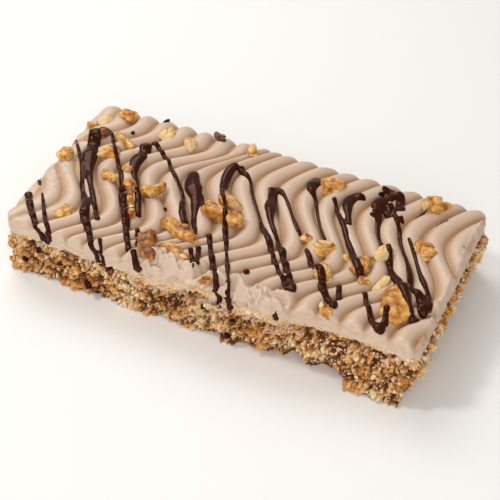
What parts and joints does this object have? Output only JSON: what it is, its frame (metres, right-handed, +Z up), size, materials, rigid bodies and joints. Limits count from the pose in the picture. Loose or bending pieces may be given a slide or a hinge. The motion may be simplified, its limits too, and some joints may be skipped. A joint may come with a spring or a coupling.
{
  "type": "fudge slice",
  "caption": "Oblong bakery slice: crumbly oat base, combed fudge icing with a dark chocolate drizzle, and pieces of walnut pressed into the top.",
  "frame": {"origin": "middle of the underside, in plan the middle of the box round the slice", "axes": "+X along the slice's long side towards its cleanly cut end, +Y towards the back, +Z up; the front that the picture shows is at -Y"},
  "size_m": [0.1901, 0.0957, 0.0364],
  "materials": {
    "oat_crumb": "rough, crumbly, matt",
    "fudge_icing": "smooth, satin",
    "chocolate": "set chocolate, semi-gloss",
    "walnut": "satin, oily, uneven"
  },
  "bodies": {
    "root": {"oat_base": "oat_crumb", "fudge_icing": "fudge_icing", "walnut_01": "walnut", "walnut_02": "walnut", "walnut_03": "walnut", "walnut_04": "walnut", "walnut_05": "walnut", "walnut_06": "walnut", "walnut_07": "walnut", "walnut_08": "walnut", "walnut_09": "walnut", "walnut_10": "walnut", "walnut_11": "walnut", "walnut_12": "walnut", "walnut_13": "walnut", "walnut_14": "walnut", "walnut_15": "walnut", "walnut_16": "walnut", "walnut_17": "walnut", "walnut_18": "walnut", "walnut_19": "walnut", "walnut_20": "walnut", "walnut_21": "walnut", "walnut_22": "walnut", "walnut_23": "walnut", "walnut_24": "walnut", "walnut_25": "walnut", "walnut_26": "walnut", "walnut_27": "walnut", "walnut_28": "walnut", "walnut_29": "walnut", "walnut_30": "walnut", "walnut_31": "walnut"}
  },
  "joints": []
}
